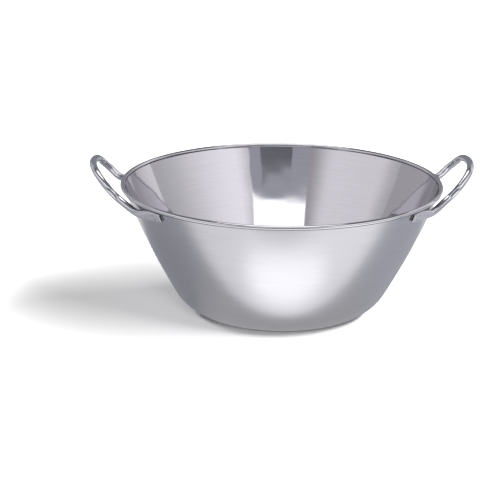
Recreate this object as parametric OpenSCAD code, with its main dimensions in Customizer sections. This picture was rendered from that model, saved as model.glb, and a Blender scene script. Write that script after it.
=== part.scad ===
// Two-handled mixing bowl in stainless steel: one drawn sheet shell with a wired rim bead,
// and two bent rod handles whose flattened ends are spot-welded to the outside of the wall.
// +Z is up, X runs through both handles, and the origin is the centre of the flat base.

/* [Bowl] */
// Outside diameter over the rim bead
rim_d = 400; // [380:1:420]
// Height from the resting face to the top of the bead
bowl_h = 164; // [160:1:170]
// Diameter of the flat base, where the knuckle begins
base_d = 166; // [160:1:172]
// Outside radius of the knuckle between base and wall
knuckle_r = 57; // [54:1:60]
// Lean of the wall from the vertical just under the bead, in degrees
top_lean = 21.3; // [19:0.1:23]
// Thickness of the sheet
sheet_t = 0.8; // [0.6:0.1:1]

/* [Rim] */
// Diameter of the wire that the edge is rolled around
wire_d = 4; // [3:0.1:5]
// How far the wall's outer face lies inside the bead's centre, measured square to the wall
bead_offset = 0.8; // [0.7:0.1:1.2]
// Radius of the small reverse bend under the bead, on the inside of the sheet
neck_bend_r = 1.2; // [1:0.1:1.6]
// Angle at which the curled edge of the sheet ends, measured at the wire's centre
curl_end = 241; // [238:1:250]

/* [Handles] */
// Diameter of the handle rod
rod_d = 9.2; // [8:0.1:10]
// Widest part of a flattened pad
pad_w = 14.5; // [13:0.1:15]
// Thickness of a flattened pad
pad_t = 3; // [2.5:0.1:3.5]
// Angle from the handle's middle to a pad's cut end, round the bowl
pad_end_angle = 39.5; // [38:0.5:41]
// Angle from the handle's middle to a pad's neck, round the bowl
neck_angle = 27; // [25:0.5:28]
// Depth of the pad's cut end below the rim
pad_end_drop = 11.5; // [11.5:0.5:14]
// Depth of the pad's neck below the rim
neck_drop = 15.5; // [15:0.5:18]

/* [Spot welds] */
// Diameter of one weld nugget
weld_d = 2.4; // [2:0.1:3]
// Height of a weld's mark above the face of the pad
weld_proud = 0.1; // [0.05:0.05:0.3]

/* [Hidden] */

FRONT = -1;
REAR = 1;
fine = 360;

wire_r = wire_d / 2;
bead_r = wire_r + sheet_t;
bead_x = rim_d / 2 - bead_r;
bead_z = bowl_h - bead_r;

// Under the bead the sheet makes a small reverse bend, tangent to the bead and to the wall,
// so that the bead stands over the wall with a crease on both sides.
top_normal = [cos(top_lean), -sin(top_lean)];
top_upward = [sin(top_lean), cos(top_lean)];
neck_inset = bead_offset + sheet_t + neck_bend_r;
neck_depth = sqrt(pow(wire_r + sheet_t + neck_bend_r, 2) - pow(neck_inset, 2));
neck_centre = [bead_x, bead_z] - neck_inset * top_normal - neck_depth * top_upward;
neck_turn = atan2(neck_depth, neck_inset) - top_lean;
// The neck bend runs on into the wall by this angle, so that the two fuse
neck_overlap = 0.5;

// The outside of the wall is one long arc. It leaves the neck bend at top_lean and runs tangent
// into the knuckle's arc, which fixes its radius.
knuckle_centre = [base_d / 2, knuckle_r];
wall_top = neck_centre + (neck_bend_r + sheet_t) * top_normal;
top_offset = wall_top - knuckle_centre;
wall_r = (top_offset * top_offset - knuckle_r * knuckle_r)
    / (2 * (top_offset * top_normal - knuckle_r));
wall_centre = wall_top - wall_r * top_normal;
knuckle_lean = asin((wall_centre[1] - knuckle_centre[1]) / (wall_r - knuckle_r));

// Outside radius and lean of the wall at a height above the knuckle
function wall_radius(z) = wall_centre[0] + sqrt(pow(wall_r, 2) - pow(wall_centre[1] - z, 2));
function wall_lean(z) = asin((wall_centre[1] - z) / wall_r);

// Outward normal of the wall, at an angle round the bowl
function outward(angle, lean) = [cos(lean) * cos(angle), cos(lean) * sin(angle), -sin(lean)];

// A point at a distance off the outside of the wall
function off_wall(angle, z, distance) =
    [wall_radius(z) * cos(angle), wall_radius(z) * sin(angle), z]
    + distance * outward(angle, wall_lean(z));

// The handle's path, from the cut end of a pad along the wall to its neck, and then along the
// rod to the middle of the grip. The rod's own points are X, Y and the height above the rim.
rod_bends = [
    [198, 55, -9.5],
    [215, 49, 6.5],
    [228, 34, 21]
];
grip_middle = [233, 0, 24.5];
pad_steps = 8;
bend_steps = 6;
ring_sides = 16;

function ease(t) = t <= 0 ? 0 : t >= 1 ? 1 : t * t * (3 - 2 * t);

// How flat the rod is hammered. t is 0 at the cut end, 1 at the neck, and grows along the rod.
full_flat_t = 0.4;
round_t = 1.3;
end_taper = 0.2;
function flatness(t) = ease((round_t - t) / (round_t - full_flat_t));
function end_narrowing(t) =
    t >= full_flat_t ? 1 : end_taper + (1 - end_taper) * sin(90 * t / full_flat_t);
function section_width(t) = rod_d + (pad_w - rod_d) * flatness(t) * end_narrowing(t);
function section_thickness(t) = rod_d - (rod_d - pad_t) * flatness(t);

// Stations along half a handle: [centre, angle that the section faces, t]
function pad_station(t) =
    let (
        angle = pad_end_angle + (neck_angle - pad_end_angle) * t,
        z = bowl_h - pad_end_drop + (pad_end_drop - neck_drop) * t
    )
    [off_wall(angle, z, section_thickness(t) / 2), angle, t];

function raised(p) = [p[0], p[1], p[2] + bowl_h];
function mirrored(p) = [p[0], -p[1], p[2]];

knots = concat(
    [pad_station(1 - 1 / pad_steps)[0], pad_station(1)[0]],
    [for (p = rod_bends) raised(p)],
    [raised(grip_middle), mirrored(raised(rod_bends[2]))]
);
spans = len(knots) - 3;

// A smooth curve through the knots, where u runs from 0 at the neck to spans at the grip.
// The first knot stands a whole span back, so that the rod leaves along the pad.
function tangent(i) =
    i == 1 ? (knots[1] - knots[0]) * norm(knots[2] - knots[1]) / norm(knots[1] - knots[0])
    : (knots[i + 1] - knots[i - 1]) / 2;
function blend(a, b, ta, tb, s) =
    a * (2 * pow(s, 3) - 3 * pow(s, 2) + 1)
    + ta * (pow(s, 3) - 2 * pow(s, 2) + s)
    + b * (3 * pow(s, 2) - 2 * pow(s, 3))
    + tb * (pow(s, 3) - pow(s, 2));
function rod_point(u) =
    let (i = min(floor(u), spans - 1) + 1, s = u - i + 1)
    blend(knots[i], knots[i + 1], tangent(i), tangent(i + 1), s);

half_stations = concat(
    [for (i = [0 : pad_steps]) pad_station(i / pad_steps)],
    [
        for (i = [1 : spans * bend_steps])
        let (u = i / bend_steps)
        [rod_point(u), neck_angle * (1 - u / spans), 1 + u]
    ]
);
last_half = len(half_stations) - 1;
stations = concat(
    half_stations,
    [
        for (i = [last_half - 1 : -1 : 0])
        let (s = half_stations[i])
        [mirrored(s[0]), -s[1], s[2]]
    ]
);
last_station = len(stations) - 1;

function unit(v) = v / norm(v);
function along(i) =
    unit(stations[min(i + 1, last_station)][0] - stations[max(i - 1, 0)][0]);

// One ring of the swept rod: round on the grip, a flat rounded bar on the pads
pad_squareness = 0.45;
function rounded(v, power) = sign(v) * pow(abs(v), power);
function ring(i) =
    let (
        s = stations[i],
        forward = along(i),
        facing = outward(s[1], wall_lean(bowl_h - neck_drop)),
        out = unit(facing - (facing * forward) * forward),
        across = cross(forward, out),
        power = 1 - (1 - pad_squareness) * flatness(s[2]),
        half_w = section_width(s[2]) / 2,
        half_t = section_thickness(s[2]) / 2
    )
    [
        for (k = [0 : ring_sides - 1])
        let (a = 360 * k / ring_sides)
        s[0] + across * half_w * rounded(cos(a), power) + out * half_t * rounded(sin(a), power)
    ];

// Weld spots on a pad: angle round the bowl from the handle's middle, and depth below the rim
weld_spots = [
    [32.5, 15],
    [35.5, 10.5],
    [36.5, 15.5]
];

module ring_sector(centre, outer_r, inner_r, from, to) {
    reach = 2 * outer_r;
    middle = (from + to) / 2;
    translate(centre)
        intersection() {
            difference() {
                circle(r = outer_r, $fn = fine);
                circle(r = inner_r, $fn = fine);
            }
            polygon([
                [0, 0],
                reach * [cos(from), sin(from)],
                reach * [cos(middle), sin(middle)],
                reach * [cos(to), sin(to)]
            ]);
        }
}

// The wall's long arc is drawn with chords, because its centre lies far beyond the bowl
wall_chords = 16;
function on_wall_arc(radius, lean) = wall_centre + radius * [cos(lean), -sin(lean)];
function wall_line(radius) = [
    for (i = [0 : wall_chords])
    on_wall_arc(radius, knuckle_lean + (top_lean - knuckle_lean) * i / wall_chords)
];
function backwards(list) = [for (i = [len(list) - 1 : -1 : 0]) list[i]];

module bead_profile() {
    curl_gap = [
        [0, 0],
        2 * bead_r * [cos(180 + neck_turn), sin(180 + neck_turn)],
        2 * bead_r * [cos(curl_end), sin(curl_end)]
    ];
    translate([bead_x, bead_z])
        difference() {
            circle(r = bead_r, $fn = fine);
            circle(r = wire_r, $fn = fine);
            polygon(curl_gap);
        }
}

module bowl_shell() {
    color([0.72, 0.73, 0.76])
        rotate_extrude($fn = fine)
            union() {
                square([base_d / 2, sheet_t]);
                ring_sector(knuckle_centre, knuckle_r, knuckle_r - sheet_t, -90, -knuckle_lean);
                polygon(concat(wall_line(wall_r), backwards(wall_line(wall_r - sheet_t))));
                ring_sector(
                    neck_centre, neck_bend_r + sheet_t, neck_bend_r, -top_lean - neck_overlap, neck_turn
                );
                bead_profile();
            }
}

module rim_wire() {
    color([0.55, 0.56, 0.58])
        rotate_extrude($fn = fine)
            translate([bead_x, bead_z])
                circle(r = wire_r, $fn = fine);
}

module handle() {
    color([0.80, 0.81, 0.84])
        polyhedron(
            points = [for (i = [0 : last_station]) each ring(i)],
            faces = concat(
                [[for (k = [0 : ring_sides - 1]) k]],
                [
                    for (i = [0 : last_station - 1], k = [0 : ring_sides - 1])
                    let (a = i * ring_sides, next = (k + 1) % ring_sides)
                    each [
                        [a + k, a + ring_sides + k, a + ring_sides + next],
                        [a + k, a + ring_sides + next, a + next]
                    ]
                ],
                [[for (k = [ring_sides - 1 : -1 : 0]) last_station * ring_sides + k]]
            ),
            convexity = 6
        );
}

module right_handle() {
    handle();
}

module left_handle() {
    rotate([0, 0, 180])
        handle();
}

// The nuggets of one pad: each runs from the middle of the sheet to just above the pad's face
module spot_welds(side) {
    length = sheet_t / 2 + pad_t + weld_proud;
    color([0.45, 0.45, 0.48])
        for (spot = weld_spots) {
            angle = side * spot[0];
            z = bowl_h - spot[1];
            translate(off_wall(angle, z, -sheet_t / 2))
                rotate([0, 90 + wall_lean(z), angle])
                    cylinder(d = weld_d, h = length, $fn = 32);
        }
}

module right_front_spot_welds() {
    spot_welds(FRONT);
}

module right_rear_spot_welds() {
    spot_welds(REAR);
}

module left_front_spot_welds() {
    rotate([0, 0, 180])
        spot_welds(REAR);
}

module left_rear_spot_welds() {
    rotate([0, 0, 180])
        spot_welds(FRONT);
}

bowl_shell();
rim_wire();
left_handle();
right_handle();
left_front_spot_welds();
left_rear_spot_welds();
right_front_spot_welds();
right_rear_spot_welds();
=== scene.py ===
from math import asin, atan2, copysign, cos, hypot, pi, radians, sin, sqrt

import bmesh
import bpy
from mathutils import Matrix, Vector


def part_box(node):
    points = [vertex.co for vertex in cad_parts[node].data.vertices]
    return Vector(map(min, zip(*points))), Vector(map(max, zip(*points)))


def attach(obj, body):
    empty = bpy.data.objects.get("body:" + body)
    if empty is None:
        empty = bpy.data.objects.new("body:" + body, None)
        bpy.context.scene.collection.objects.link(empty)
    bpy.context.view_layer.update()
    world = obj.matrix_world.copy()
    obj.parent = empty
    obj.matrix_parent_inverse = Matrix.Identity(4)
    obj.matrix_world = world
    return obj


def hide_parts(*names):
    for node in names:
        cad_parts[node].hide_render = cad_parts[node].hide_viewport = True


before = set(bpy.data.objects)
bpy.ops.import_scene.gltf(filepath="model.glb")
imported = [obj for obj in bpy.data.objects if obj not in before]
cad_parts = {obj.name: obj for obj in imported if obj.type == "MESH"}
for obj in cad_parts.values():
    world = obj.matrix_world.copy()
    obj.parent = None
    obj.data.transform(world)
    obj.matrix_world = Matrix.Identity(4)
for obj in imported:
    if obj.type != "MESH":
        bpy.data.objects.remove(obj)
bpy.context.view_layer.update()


# ---------------------------------------------------------------------------
# Bowl shell
# One disc of 0.8 mm stainless sheet, spun over a former into a flat base, a
# round knuckle and a slightly bulging wall. Its edge is rolled outwards round
# a wire into a bead. It is satin outside, and polished to fine rings inside.
# ---------------------------------------------------------------------------
shell_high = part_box("bowl_shell")[1]
rim_radius = shell_high.x
rim_top = shell_high.z
base_radius = 0.083
knuckle_radius = 0.057
top_lean = radians(21.3)
sheet = 0.0008
wire_radius = 0.002
bead_radius = wire_radius + sheet
bead_offset = 0.0008
neck_bend = 0.0012
curl_end = radians(241)
shell_turns = 360

# Under the bead a small reverse bend, tangent to bead and wall, leaves a crease on both sides
bead_centre = Vector((rim_radius - bead_radius, rim_top - bead_radius))
top_normal = Vector((cos(top_lean), -sin(top_lean)))
top_upward = Vector((sin(top_lean), cos(top_lean)))
neck_inset = bead_offset + sheet + neck_bend
neck_depth = sqrt((bead_radius + neck_bend) ** 2 - neck_inset ** 2)
neck_centre = bead_centre - neck_inset * top_normal - neck_depth * top_upward
neck_turn = atan2(neck_depth, neck_inset) - top_lean

# The wall is one long arc that runs from the neck bend to the knuckle and is tangent to both
knuckle_centre = Vector((base_radius, knuckle_radius))
wall_top = neck_centre + (neck_bend + sheet) * top_normal
rise = wall_top - knuckle_centre
overhang = rise.dot(top_normal) - knuckle_radius
wall_arc = (rise.length_squared - knuckle_radius ** 2) / (2 * overhang)
wall_centre = wall_top - wall_arc * top_normal
knuckle_lean = asin((wall_centre.y - knuckle_radius) / (wall_arc - knuckle_radius))


def arc(centre, radius, start, end, steps):
    """Points along an arc in the bowl's radius and height, with angles from the level."""
    return [
        Vector((centre.x + radius * cos(a), centre.y + radius * sin(a)))
        for a in (start + (end - start) * i / steps for i in range(steps + 1))
    ]


def deselect():
    """Leaves edit mode and selects nothing."""
    if bpy.context.object and bpy.context.object.mode == "EDIT":
        bpy.ops.object.mode_set(mode="OBJECT")
    bpy.ops.object.select_all(action="DESELECT")


def spin_from_line(name, line, turns, start=0.0, sweep=2 * pi, centre=Vector()):
    """Draws a line of radius and height points, vertex by vertex, and spins it round an upright axis."""
    outward = Vector((cos(start), sin(start), 0))
    upward = Vector((0, 0, 1))
    deselect()
    first = centre + line[0].x * outward + line[0].y * upward
    bpy.ops.mesh.primitive_plane_add(size=0.001, location=first)
    piece = bpy.context.object
    piece.name = piece.data.name = name
    bpy.ops.object.transform_apply(location=True)
    bpy.ops.object.mode_set(mode="EDIT")
    bpy.ops.mesh.select_mode(type="VERT")
    bpy.ops.mesh.merge(type="CENTER")
    for here, there in zip(line, line[1:]):
        step = (there.x - here.x) * outward + (there.y - here.y) * upward
        bpy.ops.mesh.extrude_region_move(TRANSFORM_OT_translate={"value": step})
    bpy.ops.mesh.select_all(action="SELECT")
    bpy.ops.mesh.spin(steps=turns, angle=sweep, center=centre, axis=upward)
    bpy.ops.mesh.select_all(action="SELECT")
    bpy.ops.mesh.remove_doubles(threshold=0.000002)
    bpy.ops.mesh.normals_make_consistent(inside=False)
    bpy.ops.object.mode_set(mode="OBJECT")
    return piece


def shell_line():
    """The sheet's outline in half of the bowl, from the middle of its underside to that of its floor."""
    bead_start = pi + neck_turn
    bead_stop = curl_end - 2 * pi
    base_parts = (0.25, 0.5, 0.75)
    knuckle_steps = 16
    wall_steps = 24
    neck_steps = 6
    wire_side_steps = 28
    bead_steps = 40
    return (
        [Vector((0, 0))]
        + [Vector((base_radius * part, 0)) for part in base_parts]
        + arc(knuckle_centre, knuckle_radius, -pi / 2, -knuckle_lean, knuckle_steps)
        + arc(wall_centre, wall_arc, -knuckle_lean, -top_lean, wall_steps)[1:]
        + arc(neck_centre, neck_bend + sheet, -top_lean, neck_turn, neck_steps)[1:]
        + arc(bead_centre, wire_radius, bead_start, bead_stop, wire_side_steps)[1:]
        + arc(bead_centre, bead_radius, bead_stop, bead_start, bead_steps)
        + arc(neck_centre, neck_bend, neck_turn, -top_lean, neck_steps)[1:]
        + arc(wall_centre, wall_arc - sheet, -top_lean, -knuckle_lean, wall_steps)[1:]
        + arc(knuckle_centre, knuckle_radius - sheet, -knuckle_lean, -pi / 2, knuckle_steps)[1:]
        + [Vector((base_radius * part, sheet)) for part in reversed(base_parts)]
        + [Vector((0, sheet))]
    )


bowl = spin_from_line("bowl_shell_sheet", shell_line(), shell_turns)


class Value:
    """A socket of a finish's nodes that can be used in sums like a number."""

    def __init__(self, finish, socket):
        self.finish = finish
        self.socket = socket

    def __add__(self, other):
        return self.finish.maths("ADD", self, other)

    __radd__ = __add__

    def __sub__(self, other):
        return self.finish.maths("SUBTRACT", self, other)

    def __rsub__(self, other):
        return self.finish.maths("SUBTRACT", other, self)

    def __mul__(self, other):
        return self.finish.maths("MULTIPLY", self, other)

    __rmul__ = __mul__

    def __truediv__(self, other):
        return self.finish.maths("DIVIDE", self, other)

    def __rtruediv__(self, other):
        return self.finish.maths("DIVIDE", other, self)

    def __abs__(self):
        return self.finish.maths("ABSOLUTE", self)


class Finish:
    """The nodes of a material or of the studio's world, added by type, with settings and then sockets."""

    def __init__(self, owner, output="ShaderNodeOutputMaterial"):
        self.owner = owner
        self.owner.use_nodes = True
        self.tree = owner.node_tree
        self.tree.nodes.clear()
        self.output = self.tree.nodes.new(output)

    def node(self, kind, settings, sockets, output=0):
        made = self.tree.nodes.new(kind)
        for key, value in settings.items():
            setattr(made, key, value)
        for key, value in sockets.items():
            if isinstance(value, Value):
                self.tree.links.new(value.socket, made.inputs[key])
            else:
                made.inputs[key].default_value = value
        return Value(self, made.outputs[output])

    def maths(self, operation, *operands):
        return self.node("ShaderNodeMath", {"operation": operation}, dict(enumerate(operands)))

    def place(self):
        """The point's X, Y and Z on the piece, in metres."""
        point = self.node("ShaderNodeTexCoord", {}, {}, "Object")
        return [self.node("ShaderNodeSeparateXYZ", {}, {0: point}, axis) for axis in "XYZ"]

    def join(self, x, y, z):
        return self.node("ShaderNodeCombineXYZ", {}, {"X": x, "Y": y, "Z": z})

    def noise(self, vector, scale, detail):
        sockets = {"Vector": vector, "Scale": scale, "Detail": detail}
        return self.node("ShaderNodeTexNoise", {}, sockets, "Fac")

    def fade(self, value, low, high):
        """0 below low, 1 above high, and smooth between."""
        sockets = {"Value": value, "From Min": low, "From Max": high}
        return self.node("ShaderNodeMapRange", {"interpolation_type": "SMOOTHSTEP"}, sockets)

    def mix(self, amount, first, second):
        """One colour where the amount is 0 and another where it is 1, by the node's colour sockets."""
        return self.node("ShaderNodeMix", {"data_type": "RGBA"}, {0: amount, 6: first, 7: second}, 2)

    def bump(self, height, strength, distance):
        sockets = {"Height": height, "Strength": strength, "Distance": distance}
        return self.node("ShaderNodeBump", {}, sockets)

    def finished(self, shader):
        """Puts the shader on the whole surface, and gives the material or the world."""
        self.tree.links.new(shader.socket, self.output.inputs["Surface"])
        return self.owner

    def steel(self, colour, roughness, normal, brushed=0.0):
        sockets = {
            "Base Color": colour,
            "Metallic": 1.0,
            "Roughness": roughness,
            "Normal": normal,
            "Anisotropic": brushed,
            "Anisotropic Rotation": 0.25,
        }
        return self.finished(self.node("ShaderNodeBsdfPrincipled", {}, sockets))


def spun_steel(name, dark, light, smooth, rough, brushed, groove, wavy):
    """Stainless sheet with the fine rings that a spinning lathe and an abrasive belt leave."""
    rings_a_metre = 2400
    finish = Finish(bpy.data.materials.new(name))
    x, y, z = finish.place()
    spot = finish.join(x, y, z)
    # The small number keeps the very middle of the base from dividing by nought
    radius = finish.maths("SQRT", x * x + y * y + 0.000001)
    along = (radius + z) * rings_a_metre
    rings = finish.noise(finish.join(x / radius * 3, y / radius * 3, along), 1.0, 3.0)
    fine = finish.noise(finish.join(x / radius * 9, y / radius * 9, along * 2.3), 1.0, 2.0)
    cloud = finish.noise(spot, 14.0, 3.0)
    marks = rings * 0.6 + fine * 0.4
    colour = finish.mix(finish.fade(marks, 0.3, 0.7), dark, light)
    roughness = smooth + (rough - smooth) * (marks * 0.6 + cloud * 0.4)
    dented = finish.bump(finish.noise(spot, 22.0, 1.0), wavy, 0.002)
    sockets = {"Height": marks, "Strength": groove, "Distance": 0.00005, "Normal": dented}
    normal = finish.node("ShaderNodeBump", {}, sockets)
    return finish.steel(colour, roughness, normal, brushed)


def rolled_bead():
    """The rolled edge: burnished bright where the roller ran, and rougher down in the curl, where painted
    shade darkens it almost to black.
    """
    finish = Finish(bpy.data.materials.new("rolled_bead"))
    x, y, z = finish.place()
    spot = finish.join(x, y, z)
    cloud = finish.noise(spot, 40.0, 3.0)
    grain = finish.noise(spot, 1200.0, 2.0)
    # Painted shade: down in the curl, under the bead, the colour goes almost black and the steel rougher.
    curl_painted_shade = 1 - finish.fade(z, rim_top - 1.75 * bead_radius, rim_top - 1.2 * bead_radius)
    bright = finish.mix(cloud, (0.70, 0.69, 0.72, 1), (0.80, 0.79, 0.82, 1))
    colour = finish.mix(curl_painted_shade, bright, (0.07, 0.065, 0.08, 1))
    roughness = 0.05 + 0.05 * cloud + 0.3 * curl_painted_shade
    return finish.steel(colour, roughness, finish.bump(grain, 0.04, 0.0001))


satin_outside = spun_steel(
    "satin_outside",
    dark=(0.53, 0.523, 0.565, 1),
    light=(0.64, 0.63, 0.665, 1),
    smooth=0.25,
    rough=0.34,
    brushed=0.4,
    groove=0.12,
    wavy=0.08,
)
polished_inside = spun_steel(
    "polished_inside",
    dark=(0.575, 0.565, 0.60, 1),
    light=(0.65, 0.638, 0.675, 1),
    smooth=0.045,
    rough=0.075,
    brushed=0.3,
    groove=0.05,
    wavy=0.22,
)
for finish in (satin_outside, polished_inside, rolled_bead()):
    bowl.data.materials.append(finish)


def select_faces(piece, belongs):
    """In edit mode, selects the faces that belong, by their middle and normal."""
    bpy.ops.mesh.select_mode(type="FACE")
    bpy.ops.mesh.select_all(action="DESELECT")
    work = bmesh.from_edit_mesh(piece.data)
    for face in work.faces:
        face.select = belongs(face.calc_center_median(), face.normal)
    bmesh.update_edit_mesh(piece.data)


def give_finish(piece, index, belongs):
    """Gives one of the piece's materials to the faces that belong."""
    deselect()
    piece.select_set(True)
    bpy.context.view_layer.objects.active = piece
    bpy.ops.object.mode_set(mode="EDIT")
    select_faces(piece, belongs)
    piece.active_material_index = index
    bpy.ops.object.material_slot_assign()
    bpy.ops.object.mode_set(mode="OBJECT")


def looks_inward(middle, normal):
    outward = Vector((middle.x, middle.y, 0)).normalized()
    return normal.dot(outward) < -0.1 or normal.z > 0.2


def is_on_bead(middle, normal):
    from_wire = Vector((hypot(middle.x, middle.y), middle.z)) - bead_centre
    return from_wire.length < bead_radius + 0.00001


give_finish(bowl, 1, looks_inward)
give_finish(bowl, 2, is_on_bead)
bpy.ops.object.shade_smooth_by_angle(angle=radians(35))
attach(bowl, "root")
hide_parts("bowl_shell")


# ---------------------------------------------------------------------------
# Rim wire
# A ring of drawn steel wire inside the rolled bead. Only the slit under the
# bead lets it be seen, so the solid from the frame stays, in plain wire steel.
# ---------------------------------------------------------------------------
def drawn_wire():
    finish = Finish(bpy.data.materials.new("drawn_wire"))
    drawn = finish.noise(finish.join(*finish.place()), 900.0, 2.0)
    colour = finish.mix(drawn, (0.30, 0.30, 0.32, 1), (0.45, 0.45, 0.47, 1))
    return finish.steel(colour, 0.35 + 0.2 * drawn, finish.bump(drawn, 0.2, 0.0001))


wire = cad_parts["rim_wire"]
wire.data.materials.clear()
wire.data.materials.append(drawn_wire())


# ---------------------------------------------------------------------------
# Handles
# Each is one straight rod, its two ends hammered flat into pads and the whole
# then bent: the pads follow the wall, and the rod rises out over the rim.
# ---------------------------------------------------------------------------
handle_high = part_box("right_handle")[1]
rod = 0.0092
pad_width = 0.0145
pad_thickness = 0.003
pad_swell = 1.35
pad_end_angle = radians(39.5)
neck_angle = radians(27)
pad_end_drop = 0.0115
neck_drop = 0.0155
rod_bends = [
    Vector((0.198, 0.055, rim_top - 0.0095)),
    Vector((0.215, 0.049, rim_top + 0.0065)),
    Vector((0.228, 0.034, rim_top + 0.021)),
]
grip_middle = Vector((handle_high.x - rod / 2, 0, handle_high.z - rod / 2))
full_flat = 0.4
round_again = 1.3
end_taper = 0.2
cut_round = 0.0006
hair = 0.00002


def ease(t):
    t = min(max(t, 0), 1)
    return t * t * (3 - 2 * t)


def flatness(t):
    """1 where the rod is hammered right down, and 0 where it is round. t is 1 at the pad's neck."""
    return ease((round_again - t) / (round_again - full_flat))


def section_width(t):
    narrowing = 1 if t >= full_flat else end_taper + (1 - end_taper) * sin(pi / 2 * t / full_flat)
    return rod + (pad_width - rod) * flatness(t) * narrowing


def section_thickness(t):
    return rod - (rod - pad_thickness) * flatness(t)


def wall_lean(height):
    """How far the wall's outward normal points down, at a height."""
    return asin((wall_centre.y - height) / wall_arc)


def off_wall(angle, height, distance):
    """A point off the outside of the bowl's wall."""
    lean = wall_lean(height)
    radius = wall_centre.x + sqrt(wall_arc ** 2 - (wall_centre.y - height) ** 2)
    around = Vector((cos(angle), sin(angle), 0))
    out = cos(lean) * around - Vector((0, 0, sin(lean)))
    return radius * around + Vector((0, 0, height)) + distance * out


def pad_point(t):
    angle = pad_end_angle + (neck_angle - pad_end_angle) * t
    height = rim_top - pad_end_drop + (pad_end_drop - neck_drop) * t
    return off_wall(angle, height, section_thickness(t) / 2)


def across(point):
    return Vector((point.x, -point.y, point.z))


def handle_path():
    """Points along a handle, from one pad's cut end to the other's, each with its t."""
    pad_steps = 16
    bend_steps = 12
    knots = [pad_point(1 - 1 / 8), pad_point(1), *rod_bends, grip_middle, across(rod_bends[-1])]

    def slope(i):
        if i == 1:
            return (knots[1] - knots[0]).normalized() * (knots[2] - knots[1]).length
        return (knots[i + 1] - knots[i - 1]) / 2

    half = [(pad_point(i / pad_steps), i / pad_steps) for i in range(pad_steps + 1)]
    for i in range(1, len(knots) - 2):
        for j in range(1, bend_steps + 1):
            s = j / bend_steps
            point = (
                knots[i] * (2 * s ** 3 - 3 * s ** 2 + 1)
                + slope(i) * (s ** 3 - 2 * s ** 2 + s)
                + knots[i + 1] * (3 * s ** 2 - 2 * s ** 3)
                + slope(i + 1) * (s ** 3 - s ** 2)
            )
            half.append((point, i + s))
    return half + [(across(point), t) for point, t in reversed(half[:-1])]


def select_points(piece, belongs):
    """In edit mode, selects the points that belong, and says whether there are any."""
    bpy.ops.mesh.select_all(action="DESELECT")
    work = bmesh.from_edit_mesh(piece.data)
    for point in work.verts:
        point.select = belongs(point.co)
    work.select_flush(True)
    bmesh.update_edit_mesh(piece.data)
    return any(point.select for point in work.verts)


def press_ring(piece, distance, t):
    """Hammers one ring of the straight rod: it swells sideways, and is then struck flat on both faces."""
    half_thickness = section_thickness(t) / 2
    swollen = rod - (rod - pad_swell * pad_thickness) * flatness(t)
    spread = (1, swollen / rod, section_width(t) / rod)
    select_points(piece, lambda point: abs(point.x - distance) < hair)
    bpy.ops.transform.resize(value=spread, center_override=(distance, 0, 0))
    for side in (1, -1):
        stands_proud = select_points(
            piece, lambda point: abs(point.x - distance) < hair and side * point.y > half_thickness
        )
        if stands_proud:
            anvil = (distance, side * half_thickness, 0)
            bpy.ops.transform.resize(value=(1, 0, 1), center_override=anvil)


def hammered_rod(name, distances, path):
    """A straight round bar, cut across at every station, with its ends pressed and its cuts eased."""
    length = distances[-1]
    deselect()
    bpy.ops.mesh.primitive_cylinder_add(
        vertices=32, radius=rod / 2, depth=length, location=(length / 2, 0, 0), rotation=(0, pi / 2, 0)
    )
    piece = bpy.context.object
    piece.name = piece.data.name = name
    bpy.ops.object.transform_apply(location=True, rotation=True)
    bpy.ops.object.mode_set(mode="EDIT")
    for distance in distances[1:-1]:
        bpy.ops.mesh.select_all(action="SELECT")
        bpy.ops.mesh.bisect(plane_co=(distance, 0, 0), plane_no=(1, 0, 0))
    bpy.ops.mesh.select_mode(type="VERT")
    for distance, (_, t) in zip(distances, path):
        if section_thickness(t) <= rod * 0.999:
            press_ring(piece, distance, t)
    select_faces(piece, lambda middle, normal: abs(normal.x) > 0.9)
    bpy.ops.mesh.region_to_loop()
    bpy.ops.mesh.bevel(offset=cut_round, segments=3, affect="EDGES")
    bpy.ops.object.mode_set(mode="OBJECT")
    return piece


def bent_handle(name):
    """The hammered rod carried along its path, turned so that the pads lie on the wall."""
    path = handle_path()
    distances = [0.0]
    for (here, _), (there, _) in zip(path, path[1:]):
        distances.append(distances[-1] + (there - here).length)
    piece = hammered_rod(name, distances, path)

    line = bpy.data.curves.new(name + "_path", "CURVE")
    line.dimensions = "3D"
    line.twist_mode = "Z_UP"
    spline = line.splines.new("POLY")
    spline.points.add(len(path) - 1)
    for knot, (point, _) in zip(spline.points, path):
        knot.co = (*point, 1)
        knot.tilt = -wall_lean(rim_top - neck_drop)
    guide = bpy.data.objects.new(name + "_path", line)
    bpy.context.scene.collection.objects.link(guide)
    bend = piece.modifiers.new("bend", "CURVE")
    bend.object = guide
    bend.deform_axis = "POS_X"
    bpy.context.view_layer.objects.active = piece
    bpy.ops.object.modifier_apply(modifier="bend")
    bpy.data.objects.remove(guide)
    return piece


def polished_rod():
    """Bright polished bar, with the duller, faintly hammered steel of its pressed ends."""
    finish = Finish(bpy.data.materials.new("polished_rod"))
    x, y, z = finish.place()
    spot = finish.join(x, y, z)
    pressed = finish.fade(abs(y), 0.080, 0.094)
    cloud = finish.noise(spot, 60.0, 3.0)
    grain = finish.noise(spot, 900.0, 2.0)
    hammered = finish.noise(spot, 260.0, 1.0)
    bar = finish.mix(cloud, (0.68, 0.68, 0.71, 1), (0.78, 0.78, 0.81, 1))
    pad = finish.mix(hammered, (0.72, 0.70, 0.74, 1), (0.90, 0.88, 0.92, 1))
    colour = finish.mix(pressed, bar, pad)
    roughness = 0.09 + 0.05 * cloud + pressed * (0.12 + 0.08 * grain)
    return finish.steel(colour, roughness, finish.bump(hammered * pressed + grain * 0.04, 0.25, 0.0004))


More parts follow.
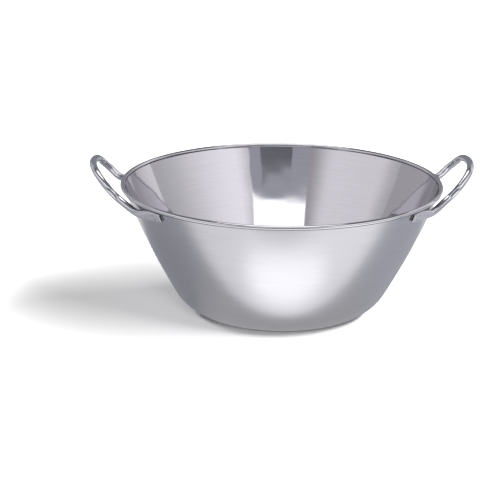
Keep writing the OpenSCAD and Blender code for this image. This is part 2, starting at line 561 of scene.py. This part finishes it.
def sawn_end_painted_shade():
    """The rod's cut ends, with the saw marks that no polishing reached, and painted shade that makes them
    nearly black.
    """
    finish = Finish(bpy.data.materials.new("sawn_end_painted_shade"))
    x, y, z = finish.place()
    marks = finish.noise(finish.join(x * 300, y * 300, z * 2600), 1.0, 2.0)
    # Painted shade: both colours are nearly black, for the shadow at each pad's cut end.
    colour = finish.mix(marks, (0.05, 0.05, 0.055, 1), (0.14, 0.135, 0.14, 1))
    return finish.steel(colour, 0.4 + 0.2 * marks, finish.bump(marks, 0.3, 0.0001))


def is_cut_end(middle, normal):
    """A cut end faces on round the bowl, away from its own grip."""
    onward = Vector((-abs(middle.y), abs(middle.x))).normalized()
    facing = Vector((normal.x * copysign(1, middle.x), normal.y * copysign(1, middle.y)))
    return facing.dot(onward) > 0.95 and abs(middle.y) > sin(neck_angle) * abs(middle.x)


rod_finishes = [polished_rod(), sawn_end_painted_shade()]


def finish_handle(piece, node):
    for finish in rod_finishes:
        piece.data.materials.append(finish)
    give_finish(piece, 1, is_cut_end)
    bpy.ops.object.shade_smooth_by_angle(angle=radians(40))
    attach(piece, "root")
    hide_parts(node)


right_handle = bent_handle("right_handle_rod")
deselect()
right_handle.select_set(True)
bpy.context.view_layer.objects.active = right_handle
bpy.ops.object.duplicate()
left_handle = bpy.context.object
left_handle.name = left_handle.data.name = "left_handle_rod"
bpy.ops.transform.rotate(value=pi, orient_axis="Z", center_override=(0, 0, 0))
bpy.ops.object.transform_apply(location=True, rotation=True, scale=True)
finish_handle(right_handle, "right_handle")
finish_handle(left_handle, "left_handle")


# ---------------------------------------------------------------------------
# Spot welds
# Three nuggets join each pad to the wall. On the pad each shows as a small
# round electrode mark: a low ring with a dished, slightly darkened middle.
# ---------------------------------------------------------------------------
weld_radius = 0.0012
weld_proud = 0.0001
weld_spots = [
    (radians(32.5), 0.015),
    (radians(35.5), 0.0105),
    (radians(36.5), 0.0155),
]


def weld_steel():
    finish = Finish(bpy.data.materials.new("weld_steel"))
    grain = finish.noise(finish.join(*finish.place()), 1500.0, 2.0)
    colour = finish.mix(grain, (0.16, 0.15, 0.16, 1), (0.34, 0.32, 0.32, 1))
    return finish.steel(colour, 0.3 + 0.25 * grain, finish.bump(grain, 0.3, 0.0001))


weld_finish = weld_steel()


def weld_mark(angle, height):
    """One nugget: a short pin through pad and sheet, with its end dished by the electrode."""
    lean = wall_lean(height)
    out = Vector((cos(lean) * cos(angle), cos(lean) * sin(angle), -sin(lean)))
    depth = sheet / 2 + pad_thickness + weld_proud
    bpy.ops.mesh.primitive_cylinder_add(
        vertices=20,
        radius=weld_radius,
        depth=depth,
        location=off_wall(angle, height, depth / 2 - sheet / 2),
        rotation=(0, pi / 2 + lean, angle),
    )
    mark = bpy.context.object
    bpy.ops.object.transform_apply(location=True, rotation=True)
    bpy.ops.object.mode_set(mode="EDIT")
    select_faces(mark, lambda middle, normal: normal.dot(out) > 0.9)
    bpy.ops.mesh.inset(thickness=weld_radius * 0.25)
    bpy.ops.transform.translate(value=-weld_proud * 0.8 * out)
    bpy.ops.mesh.inset(thickness=weld_radius * 0.4)
    bpy.ops.transform.translate(value=-weld_proud * out)
    bpy.ops.object.mode_set(mode="OBJECT")
    return mark


def weld_group(name, node, middle, side):
    """The three nuggets of one pad, as one piece. Side is 1 where they go on anticlockwise."""
    deselect()
    marks = [weld_mark(middle + side * angle, rim_top - drop) for angle, drop in weld_spots]
    for mark in marks:
        mark.select_set(True)
    bpy.ops.object.join()
    piece = bpy.context.object
    piece.name = piece.data.name = name
    piece.data.materials.append(weld_finish)
    bpy.ops.object.shade_smooth_by_angle(angle=radians(40))
    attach(piece, "root")
    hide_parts(node)


weld_group("right_front_weld_marks", "right_front_spot_welds", 0, -1)
weld_group("right_rear_weld_marks", "right_rear_spot_welds", 0, 1)
weld_group("left_front_weld_marks", "left_front_spot_welds", pi, 1)
weld_group("left_rear_weld_marks", "left_rear_spot_welds", pi, -1)


# ---------------------------------------------------------------------------
# Studio
# A plain white floor that the steel doesn't see, over a grey table and soft
# white cards that only the steel sees. Soft panels stand round the bowl, with
# a light overhead and a dim room behind, and three lamps cast the shadows.
# ---------------------------------------------------------------------------
plain_white = (1, 1, 1)
warm = (1, 0.985, 1.02)
cool = (0.95, 0.97, 1.08)
bluish = (0.94, 0.96, 1.04)


def tint(level, colour):
    return (*(level * part for part in colour), 1)


def flat_stage(name, size, centre, finish):
    deselect()
    bpy.ops.mesh.primitive_plane_add(size=1, location=centre)
    piece = bpy.context.object
    piece.name = piece.data.name = name
    piece.scale = (*size, 1)
    piece.data.materials.append(finish)
    return piece


def only_reflected(piece):
    piece.visible_camera = False
    piece.visible_diffuse = False
    piece.visible_shadow = False
    return piece


def lit(name, colour, albedo, strength):
    """A matt surface that also glows a little."""
    finish = Finish(bpy.data.materials.new(name))
    sockets = {
        "Base Color": tint(albedo, colour),
        "Roughness": 1.0,
        "Specular IOR Level": 0.0,
        "Emission Color": tint(1, colour),
        "Emission Strength": strength,
    }
    return finish.finished(finish.node("ShaderNodeBsdfPrincipled", {}, sockets))


def graded_light(name, left, right):
    """Even light whose brightness runs from a card's left to its right."""
    finish = Finish(bpy.data.materials.new(name))
    x = finish.place()[0]
    shine = finish.mix(finish.fade(x, -0.5, 0.5), tint(left, plain_white), tint(right, plain_white))
    return finish.finished(finish.node("ShaderNodeEmission", {}, {"Color": shine}))


def soft_card(name, size, centre, strength, inner):
    """An oval card that glows most in its middle and fades out at its edge, from the inner part on."""
    finish = Finish(bpy.data.materials.new(name))
    x, y, z = finish.place()
    off = 2 * finish.maths("SQRT", x * x + y * y)
    shine = finish.node("ShaderNodeEmission", {}, {"Color": tint(1, plain_white), "Strength": strength})
    clear = finish.node("ShaderNodeBsdfTransparent", {}, {})
    edge = finish.node("ShaderNodeMixShader", {}, {0: finish.fade(off, inner, 1.0), 1: shine, 2: clear})
    return only_reflected(flat_stage(name, size, centre, finish.finished(edge)))


floor = flat_stage("floor", (30, 30), (0, 0, -0.0002), lit("white_floor", plain_white, 0.95, 0.0))
floor.visible_glossy = False
floor.visible_shadow = False

table_grey = lit("grey_table", bluish, 0.12, 0.28)
front_white = graded_light("card_light", 0.98, 1.32)
rear_white = graded_light("rear_light", 0.9, 0.9)
only_reflected(flat_stage("grey_table", (30, 30), (0, 0, -0.001), table_grey))
only_reflected(flat_stage("front_card", (1.0, 0.42), (0, -0.353, 0.0002), front_white))
only_reflected(flat_stage("rear_card", (1.0, 0.42), (0, 0.402, 0.0002), rear_white))
soft_card("apron", (0.42, 0.16), (0, -0.10, 0.00005), 0.50, 0.35)
soft_card("bright_card", (0.25, 0.125), (0, -0.204, 0.0006), 1.75, 0.45)
soft_card("dim_card", (0.26, 0.09), (-0.01, -0.300, 0.0004), 0.72, 0.5)
soft_card("contact_shade", (0.20, 0.20), (0, 0, 0.0001), 0.06, 0.8)


def direction(azimuth, elevation):
    """Towards a point in the studio: azimuth 0 is the camera's side, and it grows towards +X."""
    a, e = radians(azimuth), radians(elevation)
    return Vector((sin(a) * cos(e), -cos(a) * cos(e), sin(e)))


back_wall = Vector((0, 0.18, 0.14))


def panel(name, azimuths, elevations, distance, levels, colour=plain_white, middle=back_wall):
    """A curved soft panel that only the steel sees, as bright as the levels at its left and right."""
    left, right = (radians(a) for a in azimuths)
    low, high = (radians(e) for e in elevations)
    line = arc(Vector((0, 0)), distance, low, high, steps=6)
    piece = spin_from_line(name, line, 24, start=left - pi / 2, sweep=left - right, centre=middle)
    finish = Finish(bpy.data.materials.new(name))
    x, y, z = finish.place()
    azimuth = finish.maths("ARCTAN2", x - middle.x, middle.y - y)
    ends = [tint(level, colour) for level in levels]
    shine = finish.mix(finish.fade(azimuth, left, right), *ends)
    piece.data.materials.append(finish.finished(finish.node("ShaderNodeEmission", {}, {"Color": shine})))
    return only_reflected(piece)


side_heights = (8, 38)
rear_heights = (-4, 42)
behind_the_rest = back_wall + Vector((0.1, 1.5, 0))
panel("softbox", (-14.2, 9.6), (18, 23), 3.0, (1.9, 1.9), middle=behind_the_rest)
panel("dark_card", (-10.5, 13.5), (20, 31.4), 1.3, (0.19, 0.20), cool)
panel("grey_backdrop", (-34, 34), (18, 38), 2.4, (0.46, 0.46), cool)
panel("right_inner_panel", (22.5, 32), side_heights, 2.0, (0.85, 1.16), warm)
panel("right_panel", (32, 112), side_heights, 1.98, (1.22, 0.6), warm)
panel("left_inner_panel", (-44, -24), side_heights, 2.0, (0.95, 0.45), warm)
panel("left_panel", (-84, -44), side_heights, 1.98, (0.93, 0.97), warm)
panel("left_outer_panel", (-104, -84), side_heights, 2.0, (0.62, 0.93), warm)
panel("right_rear_panel", (112, 150), rear_heights, 2.0, (0.92, 0.45), warm)
panel("dark_room", (150, 210), (-4, 50), 2.0, (0.26, 0.26), cool)
panel("left_rear_panel", (210, 256), rear_heights, 2.0, (0.5, 0.66), warm)
panel("top_light", (-180, 180), (68, 89), 1.9, (1.8, 1.8))


lamp_distance = 8.0


def strip_light(name, azimuth, elevation, width, height, energy):
    """A lamp that lights the floor and casts the soft shadows."""
    light = bpy.data.lights.new(name, "AREA")
    light.shape = "RECTANGLE"
    light.size = width
    light.size_y = height
    light.energy = energy
    lamp = bpy.data.objects.new(name, light)
    bpy.context.scene.collection.objects.link(lamp)
    away = direction(azimuth, elevation)
    lamp.location = lamp_distance * away
    lamp.rotation_euler = away.to_track_quat("Z", "Y").to_euler()
    lamp.visible_camera = False
    lamp.visible_glossy = False


strip_light("right_light", 80, 45, 12.0, 0.8, 2000)
strip_light("left_light", -78, 45, 6.0, 1.2, 260)
strip_light("front_light", 0, 28, 3.0, 1.0, 190)

studio = Finish(bpy.data.worlds.new("studio"), "ShaderNodeOutputWorld")


def sky(colour):
    return studio.node("ShaderNodeBackground", {}, {"Color": (*colour, 1)})


def seen_by(ray, otherwise, shown):
    """One sky for the rays of a kind, and the other for all the rest."""
    is_such = studio.node("ShaderNodeLightPath", {}, {}, ray)
    return studio.node("ShaderNodeMixShader", {}, {0: is_such, 1: otherwise, 2: shown})


ambient = sky((0.13, 0.13, 0.131))
mirrored = sky((0.15, 0.15, 0.17))
white = sky(plain_white)
unseen = seen_by("Is Glossy Ray", ambient, mirrored)
bpy.context.scene.world = studio.finished(seen_by("Is Camera Ray", unseen, white))


# ---------------------------------------------------------------------------
# Camera
# A long lens 2.7 m away, a little to the left and well above the bowl, so that
# it looks down inside. It leans by half a degree, and is aimed a little to the
# left of the bowl and above its middle.
# ---------------------------------------------------------------------------
camera_azimuth = -3.29
camera_elevation = 16.92
camera_distance = 2.7
camera_target = Vector((0, 0, 0.073))
aim_left = 0.0511
aim_up = 0.01395
roll = radians(0.525)
lens = 161.7
sensor = 36


def level_and_upright(backward):
    """The level and the upright direction across a line of sight."""
    level = Vector((0, 0, 1)).cross(backward).normalized()
    return level, backward.cross(level)


backward = direction(camera_azimuth, camera_elevation)
level, upright = level_and_upright(backward)
aim = camera_target - aim_left * level + aim_up * upright
eye = camera_target + camera_distance * backward
view_back = (eye - aim).normalized()
level, upright = level_and_upright(view_back)
right_side = level * cos(roll) + upright * sin(roll)
top_side = upright * cos(roll) - level * sin(roll)
turn = Matrix((right_side, top_side, view_back)).transposed().to_4x4()

camera_data = bpy.data.cameras.new("camera")
camera_data.lens = lens
camera_data.sensor_width = sensor
camera = bpy.data.objects.new("camera", camera_data)
bpy.context.scene.collection.objects.link(camera)
camera.matrix_world = Matrix.Translation(eye) @ turn
bpy.context.scene.camera = camera
bpy.context.scene.view_settings.view_transform = "Standard"
